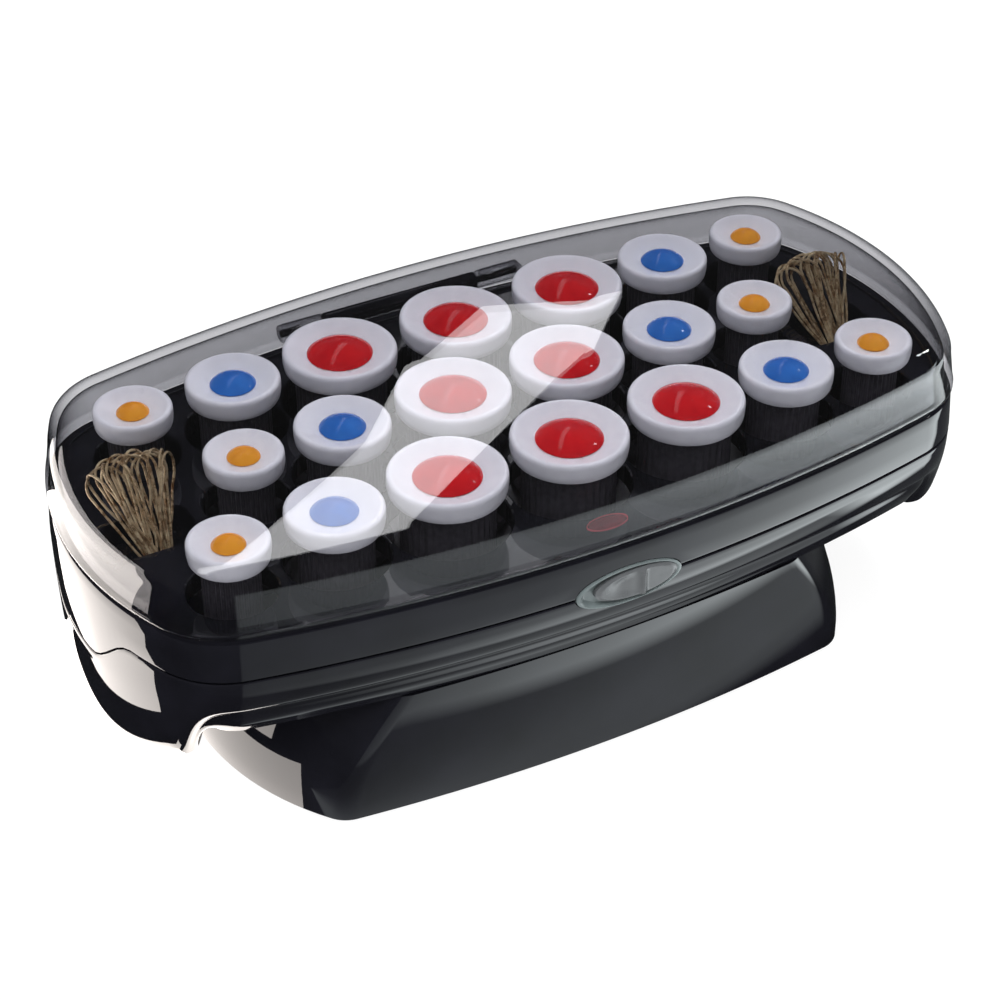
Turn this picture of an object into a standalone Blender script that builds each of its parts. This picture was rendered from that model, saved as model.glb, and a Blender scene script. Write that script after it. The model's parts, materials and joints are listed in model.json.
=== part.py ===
"""Heated hair-roller set: twenty ribbed rollers on heated posts in a pedestal base, under a clear hinged lid.

The frame stands on z = 0 with the front towards -Y and the long side along X.
Every dimension below is in millimetres, and MM turns it into metres as the meshes are made.
"""

import math

import bmesh
import bpy
from mathutils import Matrix, Vector

MM = 0.001
GAP = 0.3  # clearance between neighbouring pieces

# Heights above the table
PEDESTAL_TOP = 49.6
FLOOR = 50.0
PLATE_BOTTOM = 56.8
PLATE_TOP = 59.8
PARTING = 77.0
DECK_TOP = 92.0
RIM_TOP = 93.4
LID_EDGE = 94.0
POST_TOP = 100.0
FLANGE_TOP = 112.0
LID_SHOULDER = 115.6
LID_CROWN = 3.0

# The body's plan at its widest: bowed sides, bowed ends and round corners
BODY_PLAN = {"half_length": 162.0, "half_depth": 82.0, "side_r": 620.0, "end_r": 120.0, "corner_r": 31.0}
WINDOW_PLAN = {"half_length": 92.0, "half_depth": 52.0, "side_r": 900.0, "end_r": 300.0, "corner_r": 12.0}
ARC_STEPS = 4  # segments on each of the three arcs of a quarter plan
WALL = 2.4
SEAM_INSET = 1.0  # the body draws in by this much at the lid's seam
HALF_SEAM = 0.2

# The lower edge of the body: level along the front, deeper round the ends
EDGE_FRONT = 62.0
EDGE_DROP = 44.7
END_FOCUS = 6  # how tightly the shape of the ends keeps to the ends
# The parting line dips in the middle of each end
DIP_DEPTH = 16.0
DIP_OUTER = 38.0
DIP_INNER = 12.0

# Pedestal
FOOT_PLAN = {"half_length": 124.0, "half_depth": 73.5, "side_r": 720.0, "end_r": 100.0, "corner_r": 12.0}
FOOT_FLARE = 19.0
FOOT_FLARE_POWER = 1.7
FOOT_RIM = 0.5
FOOT_LEVELS = 5
BASE_THICKNESS = 2.5

# Rollers: barrel diameter, flange radius, heat-dot radius, colour
SIZES = {
    "large": {"barrel_r": 16.0, "flange_r": 20.0, "dot_r": 11.5, "well_r": 21.4, "colour": "red"},
    "medium": {"barrel_r": 12.5, "flange_r": 16.4, "dot_r": 7.9, "well_r": 17.8, "colour": "blue"},
    "small": {"barrel_r": 9.5, "flange_r": 13.5, "dot_r": 5.6, "well_r": 14.9, "colour": "orange"},
}
ROLLER_LENGTH = 51.6
FLANGE_THICKNESS = 7.4
LOWER_FLANGE = 3.0
DISH_DEPTH = 1.8
DOT_HEIGHT = 2.6
BORE_R = 6.4
POST_R = 5.2
ROLLER_SIDES = 12
DECK_BOTTOM = 84.0  # the deck's webs reach down between the wells to here
BELOW_DECK = DECK_BOTTOM - 5
ABOVE_DECK = DECK_TOP + 5

# Each row: its y, and the x and size of the rollers on its right half (x = 0 stands once)
OUTER_ROW = [(0.0, "large"), (45.2, "large"), (85.4, "medium"), (121.7, "small")]
MIDDLE_ROW = [(22.1, "large"), (63.4, "medium"), (99.0, "small")]
ROW_Y = {"front": -41.0, "middle": 0.0, "back": 41.0}

# Lid hinge, at the back
HINGE_Y = 86.2
HINGE_Z = 92.6
KNUCKLE_R = 3.3
PIN_R = 1.5
KNUCKLE_HALF = 31.0
EAR_INNER = 32.0
EAR_OUTER = 49.0

# Power switch, in the middle of the front wall
SWITCH_Z = PARTING
SWITCH_FACE_Y = -82.4
BEZEL_HALF = (19.8, 7.2)
SLIDER_HALF = (15.6, 5.7)
SLIDER_X = 2.7  # it rests to the right and slides the same distance past the middle

# Indicator, in the deck in front of the middle roller
LENS_HALF = (7.6, 3.6)
LENS_Y = -66.8

# Hair-pin bundles, one at each end of the middle row
PINS_X = 133.0
PINS_Y = 0.0
PIN_COUNT = 7
PIN_PITCH = 2.2
PIN_WIRE_R = 0.7
PIN_HALF_WIDTH = 7.0
PIN_LEAN = math.radians(42)
PIN_FAN = 5.5  # degrees that each pin leans outward from its neighbour
PIN_TOP = 27.0
PIN_TOP_DROP = 1.2
PIN_STRIP_HALF = 10.4
PIN_STRIP_FRONT = -17.4
PIN_STRIP_BACK = -1.0
PIN_ROOT = -14.0  # the legs reach this far below the deck, along their own slope
POCKET_LOW = (-14.5, -18.5, 80.0)  # corners of the compartment, with x from its middle
POCKET_HIGH = (14.5, 9.0, 97.0)
POCKET_WALL = 2.0

# Cord entry, low in the back of the pedestal
GLAND_Z = 16.0


def new_collection(name):
    collection = bpy.data.collections.new(name)
    bpy.context.scene.collection.children.link(collection)
    return collection


def clear_scene():
    for obj in list(bpy.data.objects):
        bpy.data.objects.remove(obj, do_unlink=True)


clear_scene()
PARTS = new_collection("hair_roller_set")
CUTTERS = new_collection("cutters")


def material(name, colour, roughness, metallic=0.0, alpha=1.0):
    made = bpy.data.materials.new(name)
    made.use_nodes = True
    shader = made.node_tree.nodes["Principled BSDF"]
    shader.inputs["Base Color"].default_value = (*colour, 1.0)
    shader.inputs["Roughness"].default_value = roughness
    shader.inputs["Metallic"].default_value = metallic
    shader.inputs["Alpha"].default_value = alpha
    return made


MATERIALS = {
    "black": material("gloss_black_plastic", (0.012, 0.012, 0.015), 0.12),
    "clear": material("smoked_clear_plastic", (0.35, 0.35, 0.38), 0.04, alpha=0.3),
    "roller": material("white_roller_plastic", (0.86, 0.85, 0.88), 0.35),
    "red": material("red_heat_dot", (0.62, 0.02, 0.03), 0.1),
    "blue": material("blue_heat_dot", (0.03, 0.16, 0.55), 0.1),
    "orange": material("orange_heat_dot", (0.85, 0.36, 0.03), 0.1),
    "aluminium": material("cast_aluminium", (0.72, 0.72, 0.74), 0.35, 1.0),
    "steel": material("bright_steel", (0.6, 0.6, 0.62), 0.25, 1.0),
    "gold": material("gold_hair_pin_wire", (0.72, 0.47, 0.25), 0.25, 1.0),
    "grey": material("grey_switch_plastic", (0.42, 0.44, 0.46), 0.3),
    "pale": material("pale_bezel_plastic", (0.66, 0.69, 0.7), 0.35),
    "lens": material("red_indicator_lens", (0.5, 0.02, 0.03), 0.15),
    "mica": material("mica_heater_strip", (0.5, 0.4, 0.26), 0.6),
    "ceramic": material("white_ceramic", (0.82, 0.8, 0.76), 0.5),
    "rubber": material("black_rubber", (0.02, 0.02, 0.02), 0.7),
    "matte_black": material("matte_black_plastic", (0.02, 0.02, 0.022), 0.55),
}


def add_object(name, mesh, slot, collection=None):
    obj = bpy.data.objects.new(name, mesh)
    (collection or PARTS).objects.link(obj)
    if slot:
        mesh.materials.append(MATERIALS[slot])
    return obj


def set_origin(obj, origin):
    """Moves the object's origin to this point and leaves its shape where it is."""
    shift = Vector(origin) * MM
    obj.data.transform(Matrix.Translation(-shift))
    obj.location = shift
    return obj


def smooth(mesh, degrees=40):
    mesh.shade_smooth()
    mesh.set_sharp_from_angle(angle=math.radians(degrees))


def boolean(obj, operation, *others):
    for other in others:
        modifier = obj.modifiers.new(other.name, "BOOLEAN")
        modifier.operation = operation
        modifier.object = other


def from_bmesh(name, shape, slot, collection=None):
    bmesh.ops.recalc_face_normals(shape, faces=shape.faces)
    mesh = bpy.data.meshes.new(name)
    shape.to_mesh(mesh)
    shape.free()
    smooth(mesh)
    return add_object(name, mesh, slot, collection)


def cutter(name, shape):
    """A hidden shape that a Boolean adds or takes away."""
    obj = from_bmesh(name, shape, None, CUTTERS)
    obj.hide_render = True
    obj.display_type = "WIRE"
    return obj


def add_rod(shape, start, end, radius, sides=16, squash=1.0):
    """Adds a cylinder between two points. squash scales it along its own second direction, for an oval."""
    start, end = Vector(start), Vector(end)
    length, radius = (end - start).length * MM, radius * MM
    made = bmesh.ops.create_cone(
        shape, cap_ends=True, segments=sides, radius1=radius, radius2=radius, depth=length
    )["verts"]
    bmesh.ops.scale(shape, vec=(1.0, squash, 1.0), verts=made)
    turn = Vector((0, 0, 1)).rotation_difference(end - start).to_matrix()
    bmesh.ops.rotate(shape, matrix=turn, verts=made)
    bmesh.ops.translate(shape, vec=(start + end) / 2 * MM, verts=made)


def add_box(shape, low, high):
    """Adds a block between two corners."""
    low, high = Vector(low), Vector(high)
    made = bmesh.ops.create_cube(shape, size=MM)["verts"]
    bmesh.ops.scale(shape, vec=high - low, verts=made)
    bmesh.ops.translate(shape, vec=(low + high) / 2 * MM, verts=made)


def box(name, low, high, slot):
    shape = bmesh.new()
    add_box(shape, low, high)
    return from_bmesh(name, shape, slot)


def rod(name, start, end, radius, slot, sides=16, squash=1.0):
    shape = bmesh.new()
    add_rod(shape, start, end, radius, sides, squash)
    return from_bmesh(name, shape, slot)


def turned_mesh(name, profile, slot, closed=False):
    """The half-section of a turned piece: points (radius, height), down the outer side from the top centre."""
    shape = bmesh.new()
    points = [shape.verts.new((radius * MM, 0.0, height * MM)) for radius, height in profile]
    following = points[1:] + points[:1] if closed else points[1:]
    for first, second in zip(points, following):
        shape.edges.new((first, second))
    mesh = bpy.data.meshes.new(name)
    shape.to_mesh(mesh)
    shape.free()
    mesh.materials.append(MATERIALS[slot])
    return mesh


def turned(name, mesh, place, sides=ROLLER_SIDES):
    obj = add_object(name, mesh, None)
    obj.location = Vector(place) * MM
    screw = obj.modifiers.new("turn", "SCREW")
    screw.steps = sides
    screw.render_steps = sides
    screw.use_merge_vertices = True
    screw.merge_threshold = 0.00001
    screw.use_smooth_shade = True
    return obj


def arc(centre, radius, start, end):
    """Points on an arc, each with its outward normal. The last point is left for the next arc."""
    found = []
    for step in range(ARC_STEPS):
        angle = start + (end - start) * step / ARC_STEPS
        normal = Vector((math.cos(angle), math.sin(angle)))
        found.append((centre + normal * radius, normal))
    return found


def outline(half_length, half_depth, side_r, end_r, corner_r):
    """A plan with bowed sides and ends, as (point, normal) pairs going round from +X."""
    side_centre = Vector((0.0, half_depth - side_r))
    end_centre = Vector((half_length - end_r, 0.0))
    # The corner's circle touches both others from inside, so its centre is this far from theirs.
    reach_side, reach_end = side_r - corner_r, end_r - corner_r
    between = end_centre - side_centre
    along = (between.length_squared + reach_side**2 - reach_end**2) / (2 * between.length)
    across = math.sqrt(reach_side**2 - along**2)
    ahead = between.normalized()
    corner_centre = side_centre + ahead * along + Vector((ahead.y, -ahead.x)) * across
    end_turn = math.atan2(corner_centre.y - end_centre.y, corner_centre.x - end_centre.x)
    side_turn = math.atan2(corner_centre.y - side_centre.y, corner_centre.x - side_centre.x)
    quarter = arc(end_centre, end_r, 0.0, end_turn)
    quarter += arc(corner_centre, corner_r, end_turn, side_turn)
    quarter += arc(side_centre, side_r, side_turn, math.pi / 2)
    top = (Vector((0.0, half_depth)), Vector((0.0, 1.0)))
    right_back = quarter + [top]
    left_back = [mirrored(pair, -1, 1) for pair in reversed(quarter)]
    front = [mirrored(pair, 1, -1) for pair in reversed(right_back[1:] + left_back[:-1])]
    return right_back + left_back + front


def mirrored(pair, x_sign, y_sign):
    return tuple(Vector((part.x * x_sign, part.y * y_sign)) for part in pair)


def ring(plan, inset, height):
    """One closed ring of points. inset and height are numbers, or functions of the point and normal there."""
    points = []
    for point, normal in plan:
        inward = inset(point, normal) if callable(inset) else inset
        z = height(point, normal) if callable(height) else height
        at = point - normal * inward
        points.append(Vector((at.x, at.y, z)))
    return points


def shrunk(points, factor, height):
    return [Vector((point.x * factor, point.y * factor, height)) for point in points]


def loft(name, rings, slot, closed=False):
    """Joins the rings in order. Its two ends are capped, or joined to each other when closed."""
    shape = bmesh.new()
    rows = [[shape.verts.new(point * MM) for point in points] for points in rings]
    pairs = list(zip(rows, rows[1:]))
    if closed:
        pairs.append((rows[-1], rows[0]))
    else:
        shape.faces.new(rows[0])
        shape.faces.new(rows[-1])
    for first, second in pairs:
        for index in range(len(first)):
            after = (index + 1) % len(first)
            shape.faces.new((first[index], first[after], second[after], second[index]))
    return from_bmesh(name, shape, slot)


def blend(front, end):
    """A value that goes from front, along the long sides, to end, where the wall faces along X."""
    return lambda point, normal: front + (end - front) * normal.x**END_FOCUS


def smoothstep(low, high, value):
    share = min(max((value - low) / (high - low), 0.0), 1.0)
    return share * share * (3 - 2 * share)


def parting_height(offset):
    """The seam between the two housings: level, with a dip in the middle of each end."""

    def height(point, normal):
        dip = DIP_DEPTH * smoothstep(DIP_OUTER, DIP_INNER, abs(point.y)) if abs(normal.x) > 0.9 else 0.0
        return PARTING - dip + offset

    return height


def roller_places():
    """(name, x, y, size) for the twenty rollers, row by row from the front and from the left."""
    places = []
    for row, y in ROW_Y.items():
        half = MIDDLE_ROW if row == "middle" else OUTER_ROW
        spots = {(side * x, size) for x, size in half for side in (-1, 1)}
        for number, (x, size) in enumerate(sorted(spots), 1):
            places.append((f"{row}_{number}", x + 0.0, y, size))
    return places


BODY = outline(**BODY_PLAN)
EDGE_END = EDGE_FRONT - EDGE_DROP


def make_upper_housing(switch_hole, hinge_bore):
    rings = [
        ring(BODY, SEAM_INSET + 5.6, DECK_TOP),
        ring(BODY, SEAM_INSET + 4.2, RIM_TOP),
        ring(BODY, SEAM_INSET + 0.8, RIM_TOP),
        ring(BODY, SEAM_INSET, RIM_TOP - 0.8),
        ring(BODY, 0.0, parting_height(HALF_SEAM)),
        ring(BODY, WALL, parting_height(HALF_SEAM)),
        ring(BODY, SEAM_INSET + WALL, DECK_TOP - 4.0),
        ring(BODY, SEAM_INSET + 9.0, DECK_BOTTOM),
    ]
    housing = loft("upper_housing", rings, "black")
    holes = bmesh.new()
    for _, x, y, size in roller_places():
        add_rod(holes, (x, y, BELOW_DECK), (x, y, ABOVE_DECK), SIZES[size]["well_r"], ROLLER_SIDES)
    cups = bmesh.new()
    wall = Vector((POCKET_WALL, POCKET_WALL, POCKET_WALL))
    for side in (-1, 1):
        shift = Vector((side * PINS_X, 0, 0))
        low, high = shift + Vector(POCKET_LOW), shift + Vector(POCKET_HIGH)
        add_box(holes, low, high)
        add_box(cups, low - wall, Vector((high.x, high.y, DECK_BOTTOM)) + wall)
    lens_x, lens_y = grown(LENS_HALF, GAP)
    add_rod(holes, (0, LENS_Y, BELOW_DECK), (0, LENS_Y, ABOVE_DECK), lens_x, 20, lens_y / lens_x)
    boolean(housing, "UNION", *housing_knuckle(), cutter("pin_cups", cups))
    boolean(housing, "DIFFERENCE", cutter("deck_holes", holes), switch_hole, hinge_bore)
    return housing


def make_lower_housing(switch_hole):
    window = outline(**WINDOW_PLAN)
    rings = [
        ring(BODY, 0.0, parting_height(-HALF_SEAM)),
        ring(BODY, 0.2, blend(EDGE_FRONT + 10.0, EDGE_END + 39.0)),
        ring(BODY, 0.9, blend(EDGE_FRONT + 6.0, EDGE_END + 21.5)),
        ring(BODY, blend(2.2, 2.8), blend(EDGE_FRONT + 2.0, EDGE_END + 10.0)),
        ring(BODY, blend(3.8, 6.8), blend(EDGE_FRONT, EDGE_END + 2.2)),
        ring(BODY, blend(4.8, 12.0), blend(EDGE_FRONT - 1.0, EDGE_END)),
        ring(BODY, blend(5.6, 17.4), blend(FLOOR + 6.0, EDGE_END + 5.0)),
        ring(BODY, blend(8.6, 26.0), FLOOR),
        ring(window, 0.0, FLOOR),
        ring(window, 0.0, FLOOR + WALL),
        ring(BODY, blend(11.0, 24.2), FLOOR + WALL),
        ring(BODY, blend(7.8, 14.5), blend(FLOOR + 7.8, EDGE_END + 7.6)),
        ring(BODY, blend(7.0, 11.8), blend(EDGE_FRONT + 1.5, EDGE_END + 2.9)),
        ring(BODY, blend(5.2, 8.1), blend(EDGE_FRONT + 3.2, EDGE_END + 4.5)),
        ring(BODY, blend(4.2, 5.0), blend(EDGE_FRONT + 4.6, EDGE_END + 11.5)),
        ring(BODY, 3.1, blend(EDGE_FRONT + 7.2, EDGE_END + 22.5)),
        ring(BODY, 2.6, blend(EDGE_FRONT + 10.4, EDGE_END + 39.4)),
        ring(BODY, WALL, parting_height(-HALF_SEAM)),
    ]
    housing = loft("lower_housing", rings, "black", closed=True)
    boolean(housing, "DIFFERENCE", switch_hole)
    return housing


def lid_rings(inset, drop):
    """The lid's skin from its edge to its crown, moved inward by inset and down by drop."""
    rounding, corner_steps = 8.5, 4
    draft = 1.6
    start = SEAM_INSET + inset
    rings = [ring(BODY, start, LID_EDGE)]
    corner_z = LID_SHOULDER - drop - rounding
    for step in range(corner_steps + 1):
        angle = math.pi / 2 * step / corner_steps
        at = start + draft + rounding * (1 - math.cos(angle))
        rings.append(ring(BODY, at, corner_z + rounding * math.sin(angle)))
    shoulder = rings[-1]
    for factor in (0.75, 0.4):
        rings.append(shrunk(shoulder, factor, LID_SHOULDER - drop + LID_CROWN * (1 - factor**2)))
    return rings


def make_lid(hinge_bore):
    lid = loft("lid", list(reversed(lid_rings(WALL, WALL))) + lid_rings(0.0, 0.0), "clear")
    boolean(lid, "UNION", *lid_ears())
    boolean(lid, "DIFFERENCE", hinge_bore)
    return set_origin(lid, (0, HINGE_Y, HINGE_Z))


def add_barrel(shape, low, high):
    add_rod(shape, (low, HINGE_Y, HINGE_Z), (high, HINGE_Y, HINGE_Z), KNUCKLE_R)


def housing_knuckle():
    """The fixed half of the hinge: a barrel with an arm down to the back wall."""
    barrel = bmesh.new()
    add_barrel(barrel, -KNUCKLE_HALF, KNUCKLE_HALF)
    arm = bmesh.new()
    low = (-KNUCKLE_HALF + 0.5, 78.8, HINGE_Z - KNUCKLE_R + 0.4)
    add_box(arm, low, (KNUCKLE_HALF - 0.5, HINGE_Y, HINGE_Z - 0.6))
    return cutter("fixed_barrel", barrel), cutter("fixed_arm", arm)


def lid_ears():
    """The moving half of the hinge: a barrel on each side, with an arm to the lid's back wall."""
    barrels = bmesh.new()
    arms = bmesh.new()
    for side in (-1, 1):
        near, far = sorted((side * EAR_INNER, side * EAR_OUTER))
        add_barrel(barrels, near, far)
        low = (near + 0.5, 76.5, LID_EDGE + 0.4)
        add_box(arms, low, (far - 0.5, HINGE_Y, HINGE_Z + KNUCKLE_R + 1.4))
    return cutter("ear_barrels", barrels), cutter("ear_arms", arms)


def make_hinge_bore():
    bore = bmesh.new()
    half = EAR_OUTER + 5
    add_rod(bore, (-half, HINGE_Y, HINGE_Z), (half, HINGE_Y, HINGE_Z), PIN_R + GAP, 12)
    return cutter("hinge_bore", bore)


def make_hinge_pins():
    for name, side in (("left", -1), ("right", 1)):
        ends = [(side * x, HINGE_Y, HINGE_Z) for x in (KNUCKLE_HALF - 20, EAR_OUTER - 0.5)]
        rod(f"hinge_pin_{name}", *ends, PIN_R, "steel", 10)


def oval_plug(half, y_front, y_back, x=0.0, sides=24):
    """An oval plug through the front wall, in the XZ plane."""
    plug = bmesh.new()
    add_rod(plug, (0, y_front, 0), (0, y_back, 0), 1.0, sides)
    bmesh.ops.scale(plug, vec=(half[0], 1.0, half[1]), verts=plug.verts)
    bmesh.ops.translate(plug, vec=Vector((x, 0, SWITCH_Z)) * MM, verts=plug.verts)
    return plug


def box_shape(low, high):
    shape = bmesh.new()
    add_box(shape, low, high)
    return shape


def grown(half, by):
    return half[0] + by, half[1] + by


def make_switch_hole():
    return cutter("switch_hole", oval_plug(grown(BEZEL_HALF, GAP), -90.0, -72.0))


def make_switch():
    dish_y = SWITCH_FACE_Y + 2.2  # the bezel is dished to this depth, and the slider runs in the dish
    slot_half = SLIDER_X + 2.0 + 0.6
    bezel = from_bmesh("power_switch_bezel", oval_plug(BEZEL_HALF, SWITCH_FACE_Y, -78.0), "pale")
    dish = oval_plug(grown(BEZEL_HALF, -0.8), -90.0, dish_y)
    slot = box_shape((-slot_half, -90.0, SWITCH_Z - 1.8), (slot_half, -70.0, SWITCH_Z + 1.8))
    boolean(bezel, "DIFFERENCE", cutter("bezel_dish", dish), cutter("bezel_slot", slot))

    back = dish_y - GAP
    slider_plug = oval_plug(SLIDER_HALF, SWITCH_FACE_Y - 0.8, back, SLIDER_X)
    slider = from_bmesh("power_switch_slider", slider_plug, "grey")
    ridge_low = (SLIDER_X + 1.2, SWITCH_FACE_Y - 2.2, SWITCH_Z - 4.6)
    ridge = box_shape(ridge_low, (SLIDER_X + 4.2, back - 0.4, SWITCH_Z + 4.6))
    stem_low = (SLIDER_X - 2.0, back - 0.5, SWITCH_Z - 1.2)
    stem = box_shape(stem_low, (SLIDER_X + 2.0, -76.0, SWITCH_Z + 1.2))
    boolean(slider, "UNION", cutter("finger_ridge", ridge), cutter("slider_stem", stem))
    set_origin(slider, (SLIDER_X, SWITCH_FACE_Y, SWITCH_Z))

    box("power_switch_body", (-13, -75.6, SWITCH_Z - 6), (13, -64.5, SWITCH_Z + 4.5), "matte_black")


def make_indicator():
    squash = LENS_HALF[1] / LENS_HALF[0]
    low, high = (0, LENS_Y, DECK_TOP - WALL - 1.0), (0, LENS_Y, DECK_TOP + 0.9)
    rod("indicator_lens", low, high, LENS_HALF[0], "lens", 20, squash=squash)
    rod("indicator_lamp", (0, LENS_Y, DECK_TOP - 10), (0, LENS_Y, DECK_TOP - WALL - 1.6), 2.4, "ceramic", 12)


def make_heating_plate():
    plate_outline = outline(half_length=141.0, half_depth=66.0, side_r=700.0, end_r=120.0, corner_r=20.0)
    rings = [ring(plate_outline, 0.0, PLATE_TOP), ring(plate_outline, 0.0, PLATE_BOTTOM)]
    plate = loft("heating_plate", rings, "aluminium")
    posts = bmesh.new()
    for _, x, y, _ in roller_places():
        add_rod(posts, (x, y, PLATE_TOP - 1.5), (x, y, POST_TOP), POST_R, 8)
    boolean(plate, "UNION", cutter("heated_posts", posts))


def make_rollers():
    turned_meshes = {}
    for size, at in SIZES.items():
        flange, barrel, dish = at["flange_r"], at["barrel_r"], at["dot_r"] + 0.6
        profile = [
            (0.0, -DISH_DEPTH),
            (dish, -DISH_DEPTH),
            (flange - 1.6, 0.0),
            (flange, -1.4),
            (flange, -FLANGE_THICKNESS),
            (barrel, -FLANGE_THICKNESS),
            (barrel, LOWER_FLANGE - ROLLER_LENGTH),
            (flange - 0.4, LOWER_FLANGE - ROLLER_LENGTH),
            (flange - 0.4, -ROLLER_LENGTH),
            (BORE_R, -ROLLER_LENGTH),
            (BORE_R, -FLANGE_THICKNESS - 2.0),
            (0.0, -FLANGE_THICKNESS - 2.0),
        ]
        dot, rise = at["dot_r"], DOT_HEIGHT * at["dot_r"] / SIZES["large"]["dot_r"]
        dome = [
            (0.0, rise),
            (dot * 0.55, rise * 0.86),
            (dot * 0.9, rise * 0.42),
            (dot, 0.0),
            (0.0, 0.0),
        ]
        turned_meshes[size] = (
            turned_mesh(f"roller_{size}", profile, "roller"),
            turned_mesh(f"heat_dot_{size}", dome, at["colour"]),
        )
    for name, x, y, size in roller_places():
        roller_mesh, dot_mesh = turned_meshes[size]
        roller = turned(f"roller_{name}", roller_mesh, (x, y, FLANGE_TOP))
        dot = turned(f"heat_dot_{name}", dot_mesh, (0, 0, GAP - DISH_DEPTH))
        dot.parent = roller


def foot_outline(height):
    """The pedestal's plan at this height: it narrows upwards along a curve."""
    narrower = FOOT_FLARE * (height / PEDESTAL_TOP) ** FOOT_FLARE_POWER
    plan = dict(FOOT_PLAN)
    plan["half_length"] -= narrower
    return outline(**plan)


def make_pedestal():
    levels = [FOOT_RIM + (PEDESTAL_TOP - FOOT_RIM) * step / FOOT_LEVELS for step in range(FOOT_LEVELS + 1)]
    outside = [ring(foot_outline(level), 0.0, level) for level in levels]
    inside = [ring(foot_outline(level), WALL, level) for level in levels]
    pedestal = loft("pedestal", outside + list(reversed(inside)), "black", closed=True)
    gland_hole = bmesh.new()
    add_rod(gland_hole, (0, 60, GLAND_Z), (0, 80, GLAND_Z), 5.3 + GAP)
    boolean(pedestal, "DIFFERENCE", cutter("gland_hole", gland_hole))

    floor_outline = foot_outline(BASE_THICKNESS)
    rings = [ring(floor_outline, WALL + 0.6, height) for height in (0.0, BASE_THICKNESS)]
    loft("base_plate", rings, "matte_black")


def make_cord_gland():
    back = FOOT_PLAN["half_depth"]
    profile = [
        (3.0, 4.5),
        (6.4, 4.5),
        (8.0, GAP),
        (5.3, GAP),
        (5.3, -7.0),
        (3.0, -7.0),
    ]
    gland_mesh = turned_mesh("cord_gland", profile, "rubber", closed=True)
    gland = turned("cord_gland", gland_mesh, (0, back, GLAND_Z))
    gland.rotation_euler = (-math.pi / 2, 0, 0)


def make_electrics():
    box("heating_element", (-95, -14, PLATE_BOTTOM - 3.3), (95, 14, PLATE_BOTTOM - GAP), "mica")
    rod("thermostat", (-58, 32, PLATE_BOTTOM - 7), (-58, 32, PLATE_BOTTOM - GAP), 8.0, "steel", 16)
    rod("thermal_fuse", (34, 32, PLATE_BOTTOM - 3), (58, 32, PLATE_BOTTOM - 3), 2.2, "ceramic", 10)
    box("terminal_block", (-20, 30, BASE_THICKNESS + GAP), (20, 46, BASE_THICKNESS + 13), "ceramic")


def hair_pin(name, across, lean_x, top):
    """One U-shaped pin: two legs from the pocket and a round arch, leaning back and a little sideways."""
    arch_z = top - PIN_HALF_WIDTH
    points = [Vector((-PIN_HALF_WIDTH * 0.75, 0, PIN_ROOT)), Vector((-PIN_HALF_WIDTH, 0, arch_z))]
    steps = 5
    for step in range(1, steps):
        angle = math.pi * (1 - step / steps)
        points.append(Vector((math.cos(angle), 0, math.sin(angle))) * PIN_HALF_WIDTH + Vector((0, 0, arch_z)))
    points += [Vector((PIN_HALF_WIDTH, 0, arch_z)), Vector((PIN_HALF_WIDTH * 0.75, 0, PIN_ROOT))]
    turn = Matrix.Rotation(-PIN_LEAN, 3, "X") @ Matrix.Rotation(lean_x, 3, "Y")
    curve = bpy.data.curves.new(name, "CURVE")
    curve.dimensions = "3D"
    curve.bevel_depth = PIN_WIRE_R * MM
    curve.bevel_resolution = 1
    curve.use_fill_caps = True
    spline = curve.splines.new("POLY")
    spline.points.add(len(points) - 1)
    for spot, point in zip(spline.points, points):
        spot.co = (*((turn @ point + Vector((0, across, 0))) * MM), 1.0)
    wire = bpy.data.objects.new(name, curve)
    CUTTERS.objects.link(wire)
    bpy.context.view_layer.update()
    mesh = bpy.data.meshes.new_from_object(wire.evaluated_get(bpy.context.evaluated_depsgraph_get()))
    bpy.data.objects.remove(wire)
    welded = bmesh.new()
    welded.from_mesh(mesh)
    bmesh.ops.remove_doubles(welded, verts=welded.verts, dist=0.00001)
    bmesh.ops.recalc_face_normals(welded, faces=welded.faces)
    welded.to_mesh(mesh)
    welded.free()
    pin = add_object(name, mesh, None, CUTTERS)
    pin.hide_render = True
    pin.display_type = "WIRE"
    return pin


def make_hair_pins():
    for name, side in (("left", -1), ("right", 1)):
        wires = []
        for number in range(PIN_COUNT):
            place = number - (PIN_COUNT - 1) / 2
            lean_x = math.radians(PIN_FAN * place * side)
            top = PIN_TOP - abs(place) * PIN_TOP_DROP
            pin = hair_pin(f"pin_{name}_{number}", place * PIN_PITCH, lean_x, top)
            pin.location = Vector((side * PINS_X, PINS_Y, DECK_TOP)) * MM
            wires.append(pin)
        low = (side * PINS_X - PIN_STRIP_HALF, PINS_Y + PIN_STRIP_FRONT, POCKET_LOW[2] + GAP)
        high = (side * PINS_X + PIN_STRIP_HALF, PINS_Y + PIN_STRIP_BACK, DECK_BOTTOM - 1.0)
        bundle = box(f"hair_pins_{name}", low, high, "gold")
        boolean(bundle, "UNION", *wires)


def main():
    make_hair_pins()
    switch_hole = make_switch_hole()
    hinge_bore = make_hinge_bore()
    make_upper_housing(switch_hole, hinge_bore)
    make_lower_housing(switch_hole)
    make_lid(hinge_bore)
    make_hinge_pins()
    make_switch()
    make_indicator()
    make_heating_plate()
    make_rollers()
    make_pedestal()
    make_cord_gland()
    make_electrics()


main()
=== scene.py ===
"""Looks of a heated hair-roller set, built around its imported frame.

Lengths are in millimetres, and MM turns them into metres. The front faces -Y, and the lid's hinge is at
the back.
"""

import json
import math

import bmesh
import bpy
from mathutils import Matrix, Vector, noise


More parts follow.
